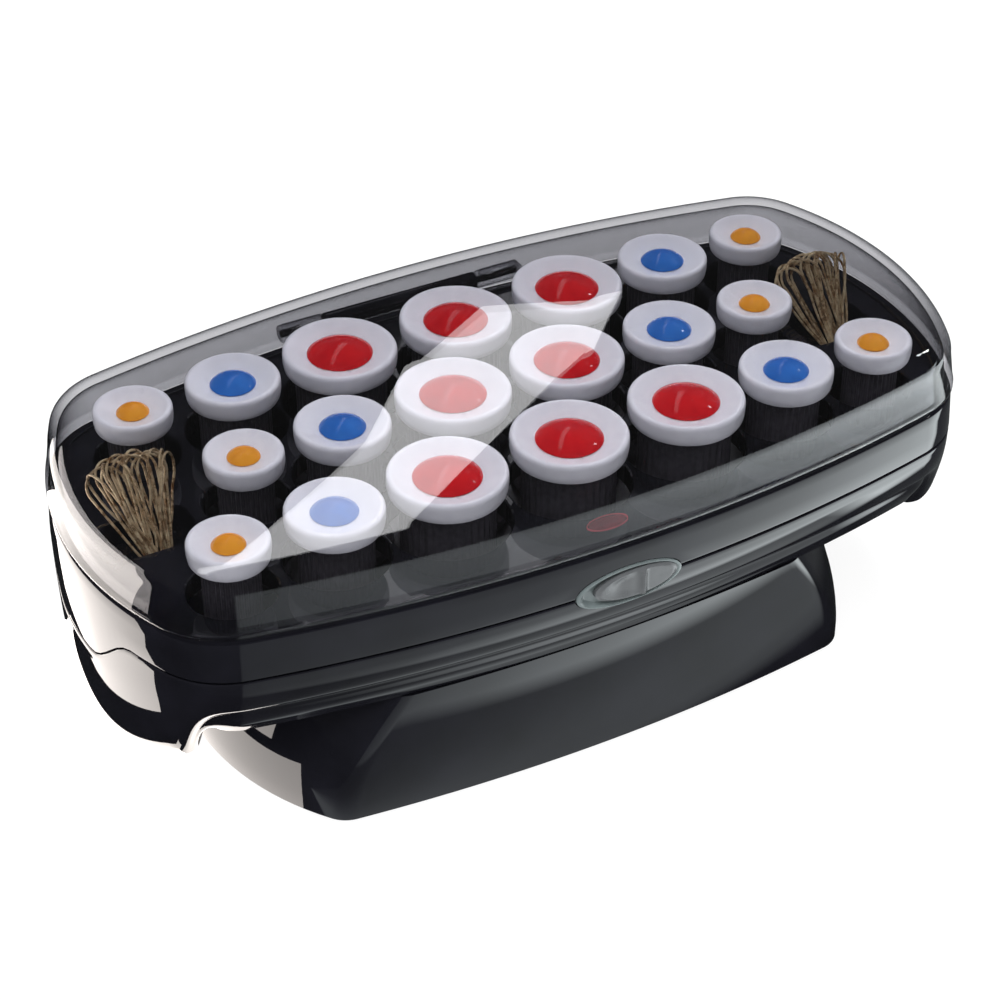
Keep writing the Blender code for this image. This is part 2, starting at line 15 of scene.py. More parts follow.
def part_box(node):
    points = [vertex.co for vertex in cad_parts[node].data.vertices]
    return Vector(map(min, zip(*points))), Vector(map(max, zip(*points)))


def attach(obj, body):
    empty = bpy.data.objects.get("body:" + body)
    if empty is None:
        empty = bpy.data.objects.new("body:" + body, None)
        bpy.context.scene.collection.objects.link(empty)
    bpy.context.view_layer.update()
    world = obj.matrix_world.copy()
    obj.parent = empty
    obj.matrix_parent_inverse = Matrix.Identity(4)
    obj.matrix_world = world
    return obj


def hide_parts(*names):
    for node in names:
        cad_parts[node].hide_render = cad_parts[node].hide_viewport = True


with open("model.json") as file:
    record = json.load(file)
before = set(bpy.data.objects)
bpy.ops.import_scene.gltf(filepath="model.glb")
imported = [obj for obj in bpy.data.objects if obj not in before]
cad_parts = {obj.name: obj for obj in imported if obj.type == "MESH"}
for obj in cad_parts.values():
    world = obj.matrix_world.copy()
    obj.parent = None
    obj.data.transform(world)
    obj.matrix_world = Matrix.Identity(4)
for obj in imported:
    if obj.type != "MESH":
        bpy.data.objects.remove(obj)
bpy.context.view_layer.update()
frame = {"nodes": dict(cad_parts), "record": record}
MM = 0.001

# Heights above the table
PEDESTAL_TOP = 49.6
FLOOR = 50.0
PARTING = 77.0
DECK_BOTTOM = 84.0
DECK_TOP = 92.0
RIM_TOP = 93.4
LID_EDGE = 94.0
FLANGE_TOP = 112.0
LID_SHOULDER = 115.6
LID_CROWN = 2.55

BODY_PLAN = {"half_length": 162.0, "half_depth": 82.0, "side_r": 620.0, "end_r": 120.0, "corner_r": 31.0}
WINDOW_PLAN = {"half_length": 92.0, "half_depth": 52.0, "side_r": 900.0, "end_r": 300.0, "corner_r": 12.0}
FOOT_PLAN = {"half_length": 124.0, "half_depth": 73.5, "side_r": 720.0, "end_r": 100.0, "corner_r": 12.0}
ARC_STEPS = 14
WALL = 2.4
SEAM_INSET = 1.0
EDGE_FRONT = 62.0
EDGE_END = 17.3
END_FOCUS = 6  # how tightly the shape of the ends keeps to the ends
DIP_DEPTH = 16.0
DIP_OUTER = 38.0
DIP_INNER = 12.0
FOOT_FLARE = 19.0
FOOT_FLARE_POWER = 1.7
FOOT_RIM = 0.5

SIZES = {
    "large": {"barrel_r": 16.0, "flange_r": 20.0, "dot_r": 11.5, "well_r": 21.4, "rise": 3.6, "ribs": 132},
    "medium": {"barrel_r": 12.5, "flange_r": 16.4, "dot_r": 7.9, "well_r": 17.8, "rise": 3.2, "ribs": 108},
    "small": {"barrel_r": 9.5, "flange_r": 13.5, "dot_r": 5.6, "well_r": 14.9, "rise": 2.9, "ribs": 90},
}
DOME_COLOURS = {"large": "red_heat_dot", "medium": "blue_heat_dot", "small": "orange_heat_dot"}
ROLLER_LENGTH = 51.6
FLANGE_THICKNESS = 7.4
LOWER_FLANGE = 3.0
DISH_DEPTH = 2.4
BORE_R = 6.4

HINGE_Y = 86.2
HINGE_Z = 92.6
KNUCKLE_R = 3.3
KNUCKLE_BEVEL = 0.5
KNUCKLE_HALF = 31.0
EAR_INNER = 32.0
EAR_OUTER = 49.0

SWITCH_FACE_Y = -82.4
BEZEL_HALF = (19.8, 7.2)
SWITCH_GAP = 0.35
SWITCH_HOLE_Y = (-90.0, -72.0)
SWITCH_HOLE_SIDES = 64
SLIDER_HALF = (15.6, 5.7)
SLIDER_X = 2.7
LENS_HALF = (7.6, 3.6)
LENS_Y = -66.8

PINS_X = 133.0
PINS_Y = 0.0
PIN_COUNT = 15
PIN_WIRE_R = 0.45
PIN_LENGTH = 26.5
PIN_LEAN = math.radians(42)
PIN_ROOT = -11.0
POCKET_LOW = (-14.5, -12.0, 80.0)
POCKET_HIGH = (14.5, 9.0, 97.0)

# The camera stands where the photograph was taken from.
CAMERA_PLACE = (-324.4, -599.4, 567.8)
CAMERA_AXES = ((0.882, -0.4713, 0.0), (0.2826, 0.529, 0.8002), (-0.3772, -0.7057, 0.5997))
CAMERA_LENS = 86.31

# ---------------------------------------------------------------- materials

PLASTIC_IOR = 1.5
CLEAR_MIRROR = 0.065
CLEAR_EDGE = (0.05, 0.05, 0.075)


def nodes_of(name):
    made = bpy.data.materials.new(name)
    made.use_nodes = True
    tree = made.node_tree
    return made, tree, tree.nodes["Principled BSDF"]


def add_node(tree, kind, **settings):
    node = tree.nodes.new(kind)
    for key, value in settings.items():
        if key in node.inputs:
            node.inputs[key].default_value = value
        else:
            setattr(node, key, value)
    return node


def noise_of(tree, scale, detail=3.0, roughness=0.5, stretch=None):
    """Noise over the object's own coordinates, in cycles per metre."""
    place = add_node(tree, "ShaderNodeTexCoord")
    texture = add_node(tree, "ShaderNodeTexNoise", Scale=scale, Detail=detail, Roughness=roughness)
    source = place.outputs["Object"]
    if stretch:
        mapping = add_node(tree, "ShaderNodeMapping", Scale=stretch)
        tree.links.new(source, mapping.inputs["Vector"])
        source = mapping.outputs["Vector"]
    tree.links.new(source, texture.inputs["Vector"])
    return texture.outputs["Fac"]


def ranged(tree, value, low, high, from_low=0.3, from_high=0.7):
    spread = add_node(tree, "ShaderNodeMapRange")
    spread.inputs["From Min"].default_value = from_low
    spread.inputs["From Max"].default_value = from_high
    spread.inputs["To Min"].default_value = low
    spread.inputs["To Max"].default_value = high
    tree.links.new(value, spread.inputs["Value"])
    return spread.outputs["Result"]


def colour_between(tree, value, first, second, low=0.3, high=0.7):
    ramp = add_node(tree, "ShaderNodeValToRGB")
    ramp.color_ramp.elements[0].position = low
    ramp.color_ramp.elements[0].color = (*first, 1.0)
    ramp.color_ramp.elements[1].position = high
    ramp.color_ramp.elements[1].color = (*second, 1.0)
    tree.links.new(value, ramp.inputs["Fac"])
    return ramp.outputs["Color"]


def bump(tree, shader, height, strength, distance):
    node = add_node(tree, "ShaderNodeBump", Strength=strength, Distance=distance)
    tree.links.new(height, node.inputs["Height"])
    tree.links.new(node.outputs["Normal"], shader.inputs["Normal"])


def plastic(name, dark, light, rough, spots=260.0, grain=2200.0, grain_depth=0.00001):
    """Moulded plastic: slow colour variation, uneven gloss and a fine surface grain."""
    made, tree, shader = nodes_of(name)
    tree.links.new(colour_between(tree, noise_of(tree, spots), dark, light), shader.inputs["Base Color"])
    tree.links.new(ranged(tree, noise_of(tree, spots * 0.6, 4.0), *rough), shader.inputs["Roughness"])
    shader.inputs["IOR"].default_value = PLASTIC_IOR
    if grain_depth:
        bump(tree, shader, noise_of(tree, grain, 2.0), 0.35, grain_depth)
    return made


def metal(name, dark, light, rough, stretch=None, spots=900.0, metallic=1.0):
    made, tree, shader = nodes_of(name)
    grain = noise_of(tree, spots, 4.0, 0.6, stretch)
    # For the gold wire this colour swing is painted glints and shade; for the plate and the pin it is grain.
    tree.links.new(colour_between(tree, grain, dark, light), shader.inputs["Base Color"])
    tree.links.new(ranged(tree, grain, *rough), shader.inputs["Roughness"])
    shader.inputs["Metallic"].default_value = metallic
    bump(tree, shader, grain, 0.25, 0.00002)
    return made


def clear_plastic(name, tint, rough):
    """A thin clear wall: it lets light through with a tint, and mirrors more at a glancing angle."""
    made, tree, shader = nodes_of(name)
    tree.nodes.remove(shader)
    through = add_node(tree, "ShaderNodeBsdfTransparent")
    mirror = add_node(tree, "ShaderNodeBsdfGlossy", Color=(1.0, 1.0, 1.0, 1.0))
    tree.links.new(ranged(tree, noise_of(tree, 120.0, 5.0, 0.65), *rough), mirror.inputs["Roughness"])
    # Schlick's curve, the same from both sides of the wall
    facing = add_node(tree, "ShaderNodeLayerWeight", Blend=0.5)
    power = add_node(tree, "ShaderNodeMath", operation="POWER")
    power.inputs[1].default_value = 5.0
    share = add_node(tree, "ShaderNodeMath", operation="MULTIPLY_ADD")
    share.inputs[1].default_value = 1.0 - CLEAR_MIRROR
    share.inputs[2].default_value = CLEAR_MIRROR
    tree.links.new(facing.outputs["Facing"], power.inputs[0])
    # A slanting sight line passes through more of the tinted wall, so the lid's outline is dark.
    edge = add_node(tree, "ShaderNodeMath", operation="POWER")
    edge.inputs[1].default_value = 2.5
    tree.links.new(facing.outputs["Facing"], edge.inputs[0])
    tinted = colour_between(tree, edge.outputs["Value"], tint, CLEAR_EDGE, 0.0, 1.0)
    tree.links.new(tinted, through.inputs["Color"])
    tree.links.new(power.outputs["Value"], share.inputs[0])
    mixed = add_node(tree, "ShaderNodeMixShader")
    tree.links.new(share.outputs["Value"], mixed.inputs["Fac"])
    tree.links.new(through.outputs["BSDF"], mixed.inputs[1])
    tree.links.new(mirror.outputs["BSDF"], mixed.inputs[2])
    tree.links.new(mixed.outputs["Shader"], tree.nodes["Material Output"].inputs["Surface"])
    return made


LOOKS = {
    "gloss_black_plastic": plastic(
        "gloss_black", (0.006, 0.006, 0.008), (0.010, 0.010, 0.014), (0.02, 0.04), 40.0, grain_depth=0.0
    ),
    "smoked_clear_plastic": clear_plastic("smoked_clear", (0.85, 0.85, 0.865), (0.0, 0.01)),
    "white_roller_plastic": plastic(
        "white_flange", (0.78, 0.78, 0.83), (0.85, 0.85, 0.89), (0.26, 0.4), 300.0, 2600.0, 0.000003
    ),
    "barrel": plastic(
        "ribbed_barrel", (0.035, 0.033, 0.04), (0.06, 0.056, 0.066), (0.28, 0.4), 500.0, 3000.0, 0.00003
    ),
    "red_heat_dot": plastic(
        "red_dome", (0.52, 0.008, 0.014), (0.66, 0.016, 0.02), (0.03, 0.07), 90.0, 500.0, 0.000001
    ),
    "blue_heat_dot": plastic(
        "blue_dome", (0.022, 0.12, 0.46), (0.04, 0.19, 0.60), (0.03, 0.07), 90.0, 500.0, 0.000001
    ),
    "orange_heat_dot": plastic(
        "orange_dome", (0.78, 0.27, 0.015), (0.90, 0.38, 0.035), (0.04, 0.09), 90.0, 500.0, 0.000001
    ),
    "cast_aluminium": metal("cast_plate", (0.48, 0.48, 0.50), (0.62, 0.62, 0.64), (0.32, 0.55)),
    "bright_steel": metal(
        "bright_pin", (0.50, 0.50, 0.52), (0.66, 0.66, 0.68), (0.15, 0.3), (0.05, 1.0, 1.0)
    ),
    # Painted glints and shade: the noise swings the wire's colour from dark brown to pale gold, standing in
    # for highlights and dark gaps along it.
    "gold_hair_pin_wire": metal(
        "gold_wire_painted_glints", (0.30, 0.14, 0.05), (1.0, 0.84, 0.54), (0.22, 0.36), None, 260.0, 0.6
    ),
    "grey_switch_plastic": plastic(
        "switch_grey", (0.085, 0.09, 0.095), (0.105, 0.11, 0.115), (0.2, 0.3), 200.0
    ),
    "pale_bezel_plastic": plastic("bezel_pale", (0.12, 0.145, 0.148), (0.15, 0.18, 0.183), (0.2, 0.3), 200.0),
    "red_indicator_lens": plastic(
        "indicator_red", (0.09, 0.006, 0.012), (0.15, 0.01, 0.02), (0.04, 0.1), 300.0
    ),
    "lens_rim": plastic("indicator_rim", (0.42, 0.05, 0.07), (0.52, 0.07, 0.09), (0.1, 0.2), 300.0),
    "mica_heater_strip": plastic(
        "mica", (0.34, 0.25, 0.15), (0.52, 0.42, 0.28), (0.35, 0.7), 700.0, 1500.0, 0.0001
    ),
    "white_ceramic": plastic(
        "ceramic", (0.70, 0.68, 0.64), (0.80, 0.78, 0.74), (0.5, 0.7), 500.0, 2500.0, 0.00004
    ),
    "black_rubber": plastic(
        "rubber", (0.012, 0.012, 0.012), (0.024, 0.024, 0.024), (0.6, 0.85), 600.0, 2500.0, 0.00008
    ),
    "matte_black_plastic": plastic(
        "matte_black", (0.014, 0.014, 0.016), (0.024, 0.024, 0.026), (0.45, 0.65), 400.0, 1400.0, 0.00008
    ),
}

# ---------------------------------------------------------------- shapes


def shape_mesh(name, shape, look, sharp=38.0):
    """Turns a bmesh into a smooth mesh with its look. Edges over the angle sharp stay crisp."""
    bmesh.ops.recalc_face_normals(shape, faces=shape.faces)
    mesh = bpy.data.meshes.new(name)
    shape.to_mesh(mesh)
    shape.free()
    mesh.shade_smooth()
    mesh.set_sharp_from_angle(angle=math.radians(sharp))
    mesh.materials.append(LOOKS[look])
    return mesh


def finish_mesh(name, shape, look, slot, body, sharp=35.0):
    """Turns a bmesh into a piece that rides on its body."""
    return place(name, shape_mesh(name, shape, look, sharp), slot, body)


def place(name, data, slot, body):
    obj = bpy.data.objects.new(name, data)
    bpy.context.scene.collection.objects.link(obj)
    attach(obj, body)
    return obj


def helper(name, shape):
    """A hidden operand for a Boolean."""
    bmesh.ops.recalc_face_normals(shape, faces=shape.faces)
    mesh = bpy.data.meshes.new(name)
    shape.to_mesh(mesh)
    shape.free()
    return bpy.data.objects.new(name, mesh)


def carve(obj, operation, shape):
    """Applies a Boolean with a bmesh and leaves a plain mesh."""
    other = helper(obj.name + "_operand", shape)
    bpy.context.scene.collection.objects.link(other)
    modifier = obj.modifiers.new(operation, "BOOLEAN")
    modifier.operation = operation
    modifier.solver = "EXACT"
    modifier.use_self = True
    modifier.object = other
    graph = bpy.context.evaluated_depsgraph_get()
    obj.data = bpy.data.meshes.new_from_object(obj.evaluated_get(graph))
    obj.modifiers.clear()
    bpy.data.objects.remove(other)


def arc(centre, radius, start, end, steps):
    found = []
    for step in range(steps):
        angle = start + (end - start) * step / steps
        normal = Vector((math.cos(angle), math.sin(angle)))
        found.append((centre + normal * radius, normal))
    return found


def outline(half_length, half_depth, side_r, end_r, corner_r, steps=ARC_STEPS):
    """A plan with bowed sides and ends, as (point, normal) pairs going round from +X."""
    side_centre = Vector((0.0, half_depth - side_r))
    end_centre = Vector((half_length - end_r, 0.0))
    # The corner's circle touches both others from inside, so its centre is this far from theirs.
    reach_side, reach_end = side_r - corner_r, end_r - corner_r
    between = end_centre - side_centre
    along = (between.length_squared + reach_side**2 - reach_end**2) / (2 * between.length)
    across = math.sqrt(reach_side**2 - along**2)
    ahead = between.normalized()
    corner_centre = side_centre + ahead * along + Vector((ahead.y, -ahead.x)) * across
    end_turn = math.atan2(corner_centre.y - end_centre.y, corner_centre.x - end_centre.x)
    side_turn = math.atan2(corner_centre.y - side_centre.y, corner_centre.x - side_centre.x)
    quarter = arc(end_centre, end_r, 0.0, end_turn, steps)
    quarter += arc(corner_centre, corner_r, end_turn, side_turn, steps)
    quarter += arc(side_centre, side_r, side_turn, math.pi / 2, steps)
    top = (Vector((0.0, half_depth)), Vector((0.0, 1.0)))
    right_back = quarter + [top]
    left_back = [mirrored(pair, -1, 1) for pair in reversed(quarter)]
    front = [mirrored(pair, 1, -1) for pair in reversed(right_back[1:] + left_back[:-1])]
    return right_back + left_back + front


def mirrored(pair, x_sign, y_sign):
    return tuple(Vector((part.x * x_sign, part.y * y_sign)) for part in pair)


def ring(plan, inset, height):
    """One closed ring of points. inset and height are numbers, or functions of the point and normal there."""
    points = []
    for point, normal in plan:
        inward = inset(point, normal) if callable(inset) else inset
        z = height(point, normal) if callable(height) else height
        at = point - normal * inward
        points.append(Vector((at.x, at.y, z)))
    return points


def shrunk(points, factor, height):
    return [Vector((point.x * factor, point.y * factor, height)) for point in points]


def rounded(rings, steps):
    """Rings along a smooth curve through the given ones."""
    found = []
    last = len(rings) - 1
    for index in range(last):
        before, first = rings[max(index - 1, 0)], rings[index]
        second, after = rings[index + 1], rings[min(index + 2, last)]
        for step in range(steps):
            t = step / steps
            found.append([curve_point(*four, t) for four in zip(before, first, second, after)])
    return found + [rings[-1]]


def curve_point(before, first, second, after, t):
    """A point on a smooth curve. Its slopes are kept short beside a short span, so it doesn't overshoot."""
    span = (second - first).length
    start = (second - before) * span / max((second - first).length + (first - before).length, 1e-6)
    end = (after - first) * span / max((after - second).length + (second - first).length, 1e-6)
    a = 2 * t**3 - 3 * t**2 + 1
    b = t**3 - 2 * t**2 + t
    c = -2 * t**3 + 3 * t**2
    d = t**3 - t**2
    return first * a + start * b + second * c + end * d


def loft(rings, closed=False):
    """A skin over the rings in order, joined end to end if closed and capped if not."""
    shape = bmesh.new()
    rows = [[shape.verts.new(point * MM) for point in points] for points in rings]
    pairs = list(zip(rows, rows[1:]))
    if closed:
        pairs.append((rows[-1], rows[0]))
    else:
        shape.faces.new(rows[0])
        shape.faces.new(rows[-1])
    for first, second in pairs:
        for index in range(len(first)):
            after = (index + 1) % len(first)
            shape.faces.new((first[index], first[after], second[after], second[index]))
    return shape


def blend(front, end):
    """A value that goes from front, along the long sides, to end, where the wall faces along X."""
    return lambda point, normal: front + (end - front) * normal.x**END_FOCUS


def smoothstep(low, high, value):
    share = min(max((value - low) / (high - low), 0.0), 1.0)
    return share * share * (3 - 2 * share)


def parting_height(offset):
    """The seam between the two housings: level, with a dip in the middle of each end."""

    def height(point, normal):
        dip = DIP_DEPTH * smoothstep(DIP_OUTER, DIP_INNER, abs(point.y)) if abs(normal.x) > 0.9 else 0.0
        return PARTING - dip + offset

    return height


def add_rod(shape, start, end, radius, sides=32, squash=1.0, end_radius=None):
    start, end = Vector(start), Vector(end)
    tip = radius if end_radius is None else end_radius
    made = bmesh.ops.create_cone(
        shape,
        cap_ends=True,
        segments=sides,
        radius1=radius * MM,
        radius2=tip * MM,
        depth=(end - start).length * MM,
    )["verts"]
    bmesh.ops.scale(shape, vec=(1.0, squash, 1.0), verts=made)
    turn = Vector((0, 0, 1)).rotation_difference(end - start).to_matrix()
    bmesh.ops.rotate(shape, matrix=turn, verts=made)
    bmesh.ops.translate(shape, vec=(start + end) / 2 * MM, verts=made)


def add_box(shape, low, high, corner=0.0):
    low, high = Vector(low), Vector(high)
    made = bmesh.ops.create_cube(shape, size=MM)["verts"]
    bmesh.ops.scale(shape, vec=high - low, verts=made)
    bmesh.ops.translate(shape, vec=(low + high) / 2 * MM, verts=made)
    if corner:
        edges = list({edge for vert in made for edge in vert.link_edges})
        bmesh.ops.bevel(shape, geom=edges, offset=corner * MM, segments=3, affect="EDGES", profile=0.5)


def turned(profile, sides, ripple=None):
    """A turned shape about Z. profile is (radius, height) pairs in order, and a radius of 0 is on the axis.

    ripple(radius, height, side) gives the radius at that side.
    """
    shape = bmesh.new()
    rows = []
    for radius, height in profile:
        if radius == 0:
            rows.append([shape.verts.new((0, 0, height * MM))])
            continue
        row = []
        for side in range(sides):
            turn = 2 * math.pi * side / sides
            at = ripple(radius, height, side) if ripple else radius
            row.append(shape.verts.new((at * math.cos(turn) * MM, at * math.sin(turn) * MM, height * MM)))
        rows.append(row)
    for first, second in zip(rows, rows[1:]):
        for side in range(sides):
            after = (side + 1) % sides
            corners = [first[side % len(first)], first[after % len(first)]]
            corners += [second[after % len(second)], second[side % len(second)]]
            unique = list(dict.fromkeys(corners))
            if len(unique) > 2:
                shape.faces.new(unique)
    return shape


def roller_places():
    """(name, x, y, size) for the twenty rollers, from where the frame has them."""
    sizes = {round(at["flange_r"] * 2, 1): size for size, at in SIZES.items()}
    places = []
    for node in sorted(frame["nodes"]):
        if not node.startswith("roller_"):
            continue
        low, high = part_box(node)
        centre = (low + high) / 2 / MM
        width = (high.y - low.y) / MM
        nearest = min(sizes, key=lambda known: abs(known - width))
        places.append((node, centre.x, centre.y, sizes[nearest]))
    return places


# ---------------------------------------------------------------- the pieces

BODY = outline(**BODY_PLAN)


def make_upper_housing():
    seam = parting_height(0.35)
    rings = [
        ring(BODY, SEAM_INSET + 7.6, DECK_TOP),
        ring(BODY, SEAM_INSET + 5.4, DECK_TOP),
        ring(BODY, SEAM_INSET + 4.9, DECK_TOP + 0.3),
        ring(BODY, SEAM_INSET + 4.6, RIM_TOP - 0.4),
        ring(BODY, SEAM_INSET + 4.2, RIM_TOP),
        ring(BODY, SEAM_INSET + 2.0, RIM_TOP),
        ring(BODY, SEAM_INSET + 1.7, RIM_TOP - 0.2),
        ring(BODY, SEAM_INSET + 1.6, RIM_TOP - 1.4),
        ring(BODY, SEAM_INSET + 1.2, RIM_TOP - 1.7),
        ring(BODY, SEAM_INSET + 0.5, RIM_TOP - 1.75),
        ring(BODY, SEAM_INSET + 0.15, RIM_TOP - 2.0),
        ring(BODY, SEAM_INSET - 0.05, RIM_TOP - 2.6),
        ring(BODY, SEAM_INSET * 0.7, PARTING + 11.0),
        ring(BODY, SEAM_INSET * 0.35, PARTING + 6.0),
        ring(BODY, 0.05, lambda point, normal: seam(point, normal) + 0.9),
        ring(BODY, 0.12, lambda point, normal: seam(point, normal) + 0.35),
        ring(BODY, 0.4, seam),
        ring(BODY, WALL, seam),
        ring(BODY, SEAM_INSET + WALL, DECK_TOP - 4.0),
        ring(BODY, SEAM_INSET + 9.0, DECK_BOTTOM),
    ]
    housing = finish_mesh("upper_shell", loft(rings), "gloss_black_plastic", "gloss_black_plastic", "base")
    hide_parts("upper_housing")

    cups = bmesh.new()
    holes = bmesh.new()
    for side in (-1, 1):
        shift = Vector((side * PINS_X, 0, 0))
        low, high = shift + Vector(POCKET_LOW), shift + Vector(POCKET_HIGH)
        add_box(holes, low, high, 4.0)
        add_box(cups, low - Vector((2, 2, 2)), Vector((high.x + 2, high.y + 2, DECK_TOP - 2)))
    add_box(cups, (-30.5, 78.8, HINGE_Z - 2.9), (30.5, HINGE_Y, HINGE_Z - 0.6))
    for _, x, y, size in roller_places():
        radius = SIZES[size]["well_r"]
        add_rod(holes, (x, y, DECK_BOTTOM - 5), (x, y, DECK_TOP + 5), radius, 56)
        add_rod(holes, (x, y, DECK_TOP - 0.7), (x, y, DECK_TOP + 0.3), radius - 0.2, 56, 1.0, radius + 0.8)
    lens_x, lens_y = LENS_HALF[0] + 0.3, LENS_HALF[1] + 0.3
    add_rod(holes, (0, LENS_Y, DECK_BOTTOM - 5), (0, LENS_Y, DECK_TOP + 5), lens_x, 40, lens_y / lens_x)
    merge(holes, switch_hole())
    carve(housing, "UNION", cups)
    carve(housing, "DIFFERENCE", holes)
    housing.data.set_sharp_from_angle(angle=math.radians(30))
    knuckle = bmesh.new()
    add_rod(knuckle, (-KNUCKLE_HALF, HINGE_Y, HINGE_Z), (KNUCKLE_HALF, HINGE_Y, HINGE_Z), KNUCKLE_R, 40)
    bevel_rims(knuckle, KNUCKLE_BEVEL)
    finish_mesh("hinge_knuckle", knuckle, "gloss_black_plastic", "gloss_black_plastic", "base")
    return housing


def merge(shape, other):
    """Adds the other bmesh's faces to shape."""
    mesh = bpy.data.meshes.new("merge")
    other.to_mesh(mesh)
    other.free()
    shape.from_mesh(mesh)
    bpy.data.meshes.remove(mesh)


def bevel_rims(shape, width):
    """Rounds the edges round the flat ends."""
    rims = [edge for edge in shape.edges if edge.calc_face_angle(0.0) > math.radians(60)]
    bmesh.ops.bevel(shape, geom=rims, offset=width * MM, segments=3, affect="EDGES", profile=0.5)


def make_lower_housing():
    window = outline(**WINDOW_PLAN)
    seam = parting_height(-0.35)
    crisp = [
        ring(BODY, 0.4, seam),
        ring(BODY, 0.12, lambda point, normal: seam(point, normal) - 0.35),
        ring(BODY, 0.05, lambda point, normal: seam(point, normal) - 0.9),
    ]
    outside = [
        ring(BODY, 0.06, lambda point, normal: seam(point, normal) - 1.6),
        ring(BODY, 0.2, blend(EDGE_FRONT + 10.0, EDGE_END + 39.0)),
        ring(BODY, 0.9, blend(EDGE_FRONT + 6.0, EDGE_END + 21.5)),
        ring(BODY, blend(2.2, 2.8), blend(EDGE_FRONT + 2.0, EDGE_END + 10.0)),
        ring(BODY, blend(3.8, 6.8), blend(EDGE_FRONT, EDGE_END + 2.2)),
        ring(BODY, blend(4.8, 12.0), blend(EDGE_FRONT - 1.0, EDGE_END)),
        ring(BODY, blend(5.6, 17.4), blend(FLOOR + 6.0, EDGE_END + 5.0)),
        ring(BODY, blend(8.6, 26.0), FLOOR),
    ]
    inside = [
        ring(window, 0.0, FLOOR),
        ring(window, 0.0, FLOOR + WALL),
        ring(BODY, blend(11.0, 24.2), FLOOR + WALL),
        ring(BODY, blend(7.8, 14.5), blend(FLOOR + 7.8, EDGE_END + 7.6)),
        ring(BODY, blend(7.0, 11.8), blend(EDGE_FRONT + 1.5, EDGE_END + 2.9)),
        ring(BODY, blend(5.2, 8.1), blend(EDGE_FRONT + 3.2, EDGE_END + 4.5)),
        ring(BODY, blend(4.2, 5.0), blend(EDGE_FRONT + 4.6, EDGE_END + 11.5)),
        ring(BODY, 3.1, blend(EDGE_FRONT + 7.2, EDGE_END + 22.5)),
        ring(BODY, 2.6, blend(EDGE_FRONT + 10.4, EDGE_END + 39.4)),
        ring(BODY, WALL, seam),
    ]
    shape = loft(crisp + rounded(outside, 5) + inside, closed=True)
    housing = finish_mesh("lower_shell", shape, "gloss_black_plastic", "gloss_black_plastic", "base")
    carve(housing, "DIFFERENCE", switch_hole())
    housing.data.set_sharp_from_angle(angle=math.radians(30))
    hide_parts("lower_housing")


def lid_rings(inset, drop, bead):
    """The lid's skin from its edge to its crown, moved inward by inset and down by drop."""
    rounding, corner_steps = 8.5, 12
    draft = 1.6
    start = SEAM_INSET + inset
    rings = [ring(BODY, start - bead * 0.4, LID_EDGE)]
    if bead:
        rings += [ring(BODY, start - bead, LID_EDGE + 0.3), ring(BODY, start - bead, LID_EDGE + 1.5)]
        rings += [ring(BODY, start - bead * 0.4, LID_EDGE + 1.9)]
    corner_z = LID_SHOULDER - drop - rounding
    for step in range(corner_steps + 1):
        angle = math.pi / 2 * step / corner_steps
        at = start + draft + rounding * (1 - math.cos(angle))
        rings.append(ring(BODY, at, corner_z + rounding * math.sin(angle)))
    shoulder = rings[-1]
    for factor in (0.97, 0.92, 0.85, 0.75, 0.64, 0.52, 0.4, 0.27, 0.14):
        rings.append(shrunk(shoulder, factor, LID_SHOULDER - drop + LID_CROWN * (1 - factor**2)))
    return rings


def make_lid():
    rings = list(reversed(lid_rings(WALL, WALL, 0.0))) + lid_rings(0.0, 0.0, 0.45)
    lid = finish_mesh("clear_lid", loft(rings), "smoked_clear_plastic", "smoked_clear_plastic", "lid", 50.0)
    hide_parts("lid")
    for side, name in ((-1, "left"), (1, "right")):
        near, far = sorted((side * EAR_INNER, side * EAR_OUTER))
        ear = bmesh.new()
        add_rod(ear, (near, HINGE_Y, HINGE_Z), (far, HINGE_Y, HINGE_Z), KNUCKLE_R, 40)
        bevel_rims(ear, KNUCKLE_BEVEL)
        arm = bmesh.new()
        add_box(arm, (near + 0.5, 80.2, LID_EDGE + 0.6), (far - 0.5, HINGE_Y, HINGE_Z + KNUCKLE_R + 1.2), 0.6)
        merge(ear, arm)
        finish_mesh(f"lid_ear_{name}", ear, "smoked_clear_plastic", "smoked_clear_plastic", "lid")


